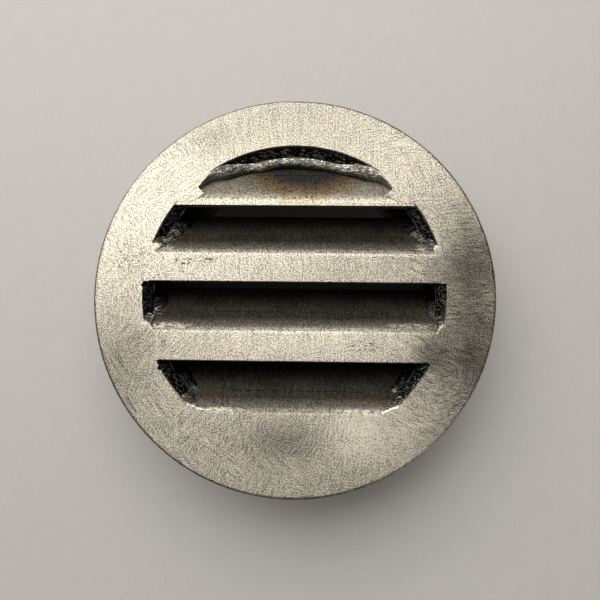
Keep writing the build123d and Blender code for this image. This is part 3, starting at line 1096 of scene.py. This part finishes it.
def ground_plate(material, kind="plate"):
    """Fills a material; kind is plate, tinted or weld."""
    tree, shader, x, y, z = begin(material)
    depth = z * -1.0 + FACE_Z / MM
    below = depth.ramp(0.3, 2.2)
    marks = grinding_marks(tree, x, y, z, below * (0.35 if kind == "tinted" else 0.8))
    grain = noise(tree, vector_of(tree, x / 0.50, y / 0.50, z / 0.50), 1.0, 0.6)
    patches = noise(tree, vector_of(tree, x / 13.0, y / 13.0, z / 9.0), 2.0, 0.55)

    tone = (marks - 0.5) * 2.3 + (grain - 0.5) * 3.9 + (patches - 0.5) * 0.25 + 1.0
    tone = tone.math("MAXIMUM", 0.25)
    break_up = noise(tree, vector_of(tree, x / 2.2, y / 0.9, 6.0), 4.0, 0.75)
    face_only = depth.ramp(1.0, 0.3)
    # the face's soft places: uneven grinding, and painted reflection and shade
    tone = tone * (grinding_and_painted_reflection(x, y) * face_only + face_only.flipped() * 0.9)
    pitted = marks_in(x, y, PITS, break_up.ramp(0.50, 0.42), 0.5) * face_only
    smeared = marks_in(x, y, WELD_SMEARS, break_up.ramp(0.44, 0.58), 0.45) * depth.ramp(3.5, 2.0)
    tone = (tone * (pitted + 1.0)).math("MINIMUM", BRIGHTEST)
    # one long scratch on the right, and painted shade on the rim at the lower left, where the
    # rounded edge faces away from the lamp
    scratch = near(y + x * 0.62 - 26.4, 0.0, 0.10, 0.16) * near(x, SCRATCH_X, 6.0, 2.0)
    rim = (x * x + y * y).math("SQRT").ramp(74.6, 76.0) * (x + y).ramp(10.0, -60.0)
    tone = tone * (scratch * 0.6 + 1.0) * (rim * -0.55 + 1.0)
    warm = mixed(tree, patches.ramp(0.35, 0.65), (0.50, 0.463, 0.381), (0.52, 0.473, 0.386))
    height = marks * 0.05 + grain * 0.03 + patches * 0.08
    rough = (marks - 0.5) * 0.25 + (patches - 0.5) * 0.2 + 0.34 + depth.ramp(0.0, 0.8) * 0.2

    # the disc never reached the slopes, so they keep the dull rolled skin; the colour is also
    # darkened just past each bend's start and down the slopes, painted shade over the bend's highlight
    skin_dulling_and_bend_shade = depth.ramp(0.02, 0.12) * -0.64 + depth.ramp(0.1, 0.45) * -0.18
    inside_bore = (x * x + y * y).math("SQRT").ramp(BORE_R / MM + 0.5, BORE_R / MM)
    skin = (skin_dulling_and_bend_shade + depth.ramp(4.5, 9.0) * 0.08) * inside_bore + 1.0
    # the top blade likewise: dull skin, and painted shade past its bend's start
    top_skin_and_bend_shade = depth.ramp(0.0, 0.25) * -0.50 + depth.ramp(1.5, 5.0) * -0.15 + 1.0
    if kind == "tinted":
        skin = top_skin_and_bend_shade
    if kind != "weld":
        # a thin broken line on each slope, where the press tool's edge bore
        line = near(depth, 5.1, 0.08, 0.18)
        line_breaks = noise(tree, vector_of(tree, x / 11.0, y / 30.0, 1.0), 2.0).ramp(0.46, 0.56)
        tone = tone * skin * (line * line_breaks * -0.55 + 1.0) + smeared
        browned = marks_in(x, y, BROWNED, patches * 1.2 + 0.4, 0.6) * below
        colour = scaled_colour(tree, mixed(tree, browned, warm, (0.72, 0.52, 0.32)), tone)
        if kind == "tinted":
            colour = multiplied(tree, colour, heat_tint(tree, x, y, patches))
    else:
        over = tree.nodes.new("ShaderNodeAttribute")
        over.attribute_name = "over"
        over_bead = Wire(tree, over.outputs["Fac"])
        # crest: a painted highlight along the closing bead's crown, its upper half; the tone also falls
        # to near black at the toe on the blade
        crest = over_bead.ramp(0.38, 0.58)
        toe = over_bead.ramp(0.03, 0.16)
        outer_ends = x.math("ABSOLUTE").ramp(24.0, 31.0)
        weld_tone, weld_height, oxide = weld_surface(tree, x, y, z)
        tips = x.math("ABSOLUTE").ramp(28.0, 31.0) * y.ramp(42.0, 40.0) * y.ramp(30.0, 33.0)
        ground = depth.ramp(0.35, 0.03).math("MAXIMUM", tips)
        metal = mixed(tree, oxide, (0.24, 0.218, 0.182), (0.38, 0.36, 0.32))
        upper_half = y.ramp(30.0, 36.0)
        closing_tone = weld_tone * (crest * 1.3 + 0.1) + toe * 0.35 + outer_ends * (toe * 0.25 + 0.3)
        laid_tone = closing_tone * upper_half + weld_tone * 0.40 * upper_half.flipped()
        as_laid = scaled_colour(tree, metal, laid_tone.math("MAXIMUM", 0.04))
        tone = tone * (top_skin_and_bend_shade * tips + tips.flipped())
        colour = mixed(tree, ground, as_laid, scaled_colour(tree, warm, tone))
        height = weld_height * ground.flipped() + height * ground
        rough = rough * ground + ground.flipped() * 0.26

    tree.links.new(colour, shader.inputs["Base Color"])
    shader.inputs["Metallic"].default_value = 1.0
    feed(tree, rough, shader.inputs["Roughness"])
    bumped(tree, shader, height)


ground_plate(finish["ground_plate"])
ground_plate(finish["tinted_plate"], "tinted")
ground_plate(finish["weld_bead"], "weld")
print("ground plate:", len(finish["ground_plate"].node_tree.nodes), "nodes")


# %% [markdown]
# ## Pipe steel
#
# The pipe was drawn and then only handled, so fine lines run round it. Its inside is darker
# towards the blades: painted shade, where hardly any light comes in past them.

# %% Pipe steel
def plain_steel(material, base, roughness, lumps):
    """Fills a material with drawn, unground steel."""
    tree, shader, x, y, z = begin(material)
    grain = noise(tree, vector_of(tree, x / 0.5, y / 0.5, z / 0.5), 3.0, 0.6)
    patches = noise(tree, vector_of(tree, x / 6.0, y / 6.0, z / 6.0), 2.0)
    swing = y.math("ARCTAN2", x) * 12.0
    drawn = noise(tree, vector_of(tree, swing, z / 0.35, 5.0), 3.0, 0.6)
    tone = (grain - 0.5) * 0.6 + (drawn - 0.5) * 0.9 + (patches - 0.5) * 0.5 + 1.0
    # the inside is darkened towards the blades: painted shade
    radius = (x * x + y * y).math("SQRT")
    inside = radius.ramp(BORE_R / MM - 0.05, BORE_R / MM - 0.3) * z.ramp(4.0, 16.0)
    tone = tone * (inside * -0.88 + 1.0)
    colour = scaled_colour(tree, mixed(tree, patches, base, tuple(c * 0.85 for c in base)), tone)
    tree.links.new(colour, shader.inputs["Base Color"])
    shader.inputs["Metallic"].default_value = 1.0
    feed(tree, (patches - 0.5) * 0.3 + roughness, shader.inputs["Roughness"])
    bumped(tree, shader, grain * lumps)


PIPE_COLOUR = (0.40, 0.38, 0.345)
plain_steel(finish["pipe_steel"], PIPE_COLOUR, roughness=0.38, lumps=0.03)

# %% [markdown]
# ## Seal beads
#
# They lie deep in the slots and nobody ever brushed them, so they keep a dark oxide skin.
# The tone is squared, which leaves only the crests of the ripples bright.

# %% Seal beads
tree, shader, x, y, z = begin(finish["seal_bead"])
tone, height, oxide = weld_surface(tree, x, y, z)
metal = mixed(tree, oxide, (0.045, 0.04, 0.034), (0.10, 0.092, 0.08))
tone = tone.math("MAXIMUM", 0.05)
tree.links.new(scaled_colour(tree, metal, tone * tone), shader.inputs["Base Color"])
shader.inputs["Metallic"].default_value = 1.0
shader.inputs["Roughness"].default_value = 0.27
bumped(tree, shader, height * 1.5)

# %% [markdown]
# ## The bench
#
# The vent stands on its spigot on a pale bench. Inside the pipe the bench is darker,
# because hardly any light comes in past the blades.

# %% Bench
floor_mesh = bpy.data.meshes.new("bench")
HALF = 1.2
corners = [(-HALF, -HALF, 0), (HALF, -HALF, 0), (HALF, HALF, 0), (-HALF, HALF, 0)]
floor_mesh.from_pydata(corners, [], [(0, 1, 2, 3)])
floor = bpy.data.objects.new("bench", floor_mesh)
bpy.context.scene.collection.objects.link(floor)
bench = bpy.data.materials.new("bench")
bench.use_nodes = True
floor_mesh.materials.append(bench)
tree, shader, x, y, z = begin(bench)
mottle = noise(tree, vector_of(tree, x / 9.0, y / 9.0, 0.0), 4.0, 0.6)
speck = noise(tree, vector_of(tree, x / 1.2, y / 1.2, 4.0), 2.0).ramp(0.70, 0.76)
tooth = noise(tree, vector_of(tree, x / 0.7, y / 0.7, 2.0), 2.0)
tone = (mottle - 0.5) * 0.05 + (tooth - 0.5) * 0.24 + 1.0 + speck * -0.10
under_vent = (x * x + y * y).math("SQRT").ramp(56.0, 53.0)
tone = tone * (under_vent * (y.ramp(30.0, 16.0) * 0.30 + 0.5) * -1.0 + 1.0)
colour = scaled_colour(tree, mixed(tree, mottle, (0.60, 0.575, 0.545), (0.61, 0.585, 0.56)), tone)
tree.links.new(colour, shader.inputs["Base Color"])
shader.inputs["Roughness"].default_value = 0.55
floor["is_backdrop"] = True

# %% [markdown]
# ## Light
#
# One large soft window light stands beyond the top of the vent. The room is a dim glow
# with a brighter patch of ceiling, and it is darker on the right. Polished flats mirror the
# ceiling, so its patches matter as much as the lamp.

# %% Light
WARM_WHITE = (1.0, 0.985, 0.96, 1.0)
LAMP_WATTS = 13.5
scene = bpy.context.scene
world = bpy.data.worlds.new("room")
scene.world = world
world.use_nodes = True
tree = world.node_tree
place = tree.nodes.new("ShaderNodeTexCoord")
x, y, z = axes_of(tree, place.outputs["Generated"])
overhead = z.ramp(0.45, 0.95)
shade = spot(x, y, (0.42, -0.30), (0.45, 0.50), 0.6) * overhead
ceiling = spot(x, y, (-0.10, -0.06), (0.26, 0.24), 0.55) * overhead
glow = shade * -0.18 + ceiling * 0.95 + 0.24 + y * 0.05 + x * -0.05
glow = glow.math("MAXIMUM", 0.04)
feed(tree, glow, tree.nodes["Background"].inputs["Strength"])
tree.nodes["Background"].inputs["Color"].default_value = WARM_WHITE

lamp = bpy.data.lights.new("window", "AREA")
lamp.shape = "RECTANGLE"
lamp.size = 1.60
lamp.size_y = 1.00
lamp.energy = LAMP_WATTS
lamp.color = (1.0, 0.985, 0.955)
window = bpy.data.objects.new("window", lamp)
window.location = (-0.22, 0.66, 0.92)
window.rotation_euler = (-window.location).to_track_quat("-Z", "Y").to_euler()
scene.collection.objects.link(window)
window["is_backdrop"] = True

# %% [markdown]
# ## Camera
#
# The camera looks almost straight down on the face from a quarter of a metre, tipped back a
# little, so each slot shows its slope and the strip of bench behind it. Its axes are given
# as three directions.

# %% Camera
CAMERA_PLACE = (0.007607, -0.031001, 0.249195)
LENS = 34.56
lens = bpy.data.cameras.new("camera")
lens.lens = LENS
lens.sensor_width = 36.0
lens.clip_start = 0.01
camera = bpy.data.objects.new("camera", lens)
right = Vector((0.99966, 0.01342, -0.02216))
up = Vector((-0.01048, 0.9917, 0.12813))
back = Vector((0.0237, -0.12785, 0.99151))
turned = Matrix((right, up, back)).transposed().to_4x4()
camera.matrix_world = Matrix.Translation(CAMERA_PLACE) @ turned
scene.collection.objects.link(camera)
scene.camera = camera
scene.view_settings.view_transform = "Standard"

# %% [markdown]
# ## Measure
#
# The finished pieces are measured again, so the looks can be compared with the design.

# %% Measure the finished size
made_low, made_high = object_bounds()
sizes = {"cad": [list(cad_low), list(cad_high)], "made": [list(made_low), list(made_high)]}
print("made size", [round(v, 4) for v in made_high - made_low])
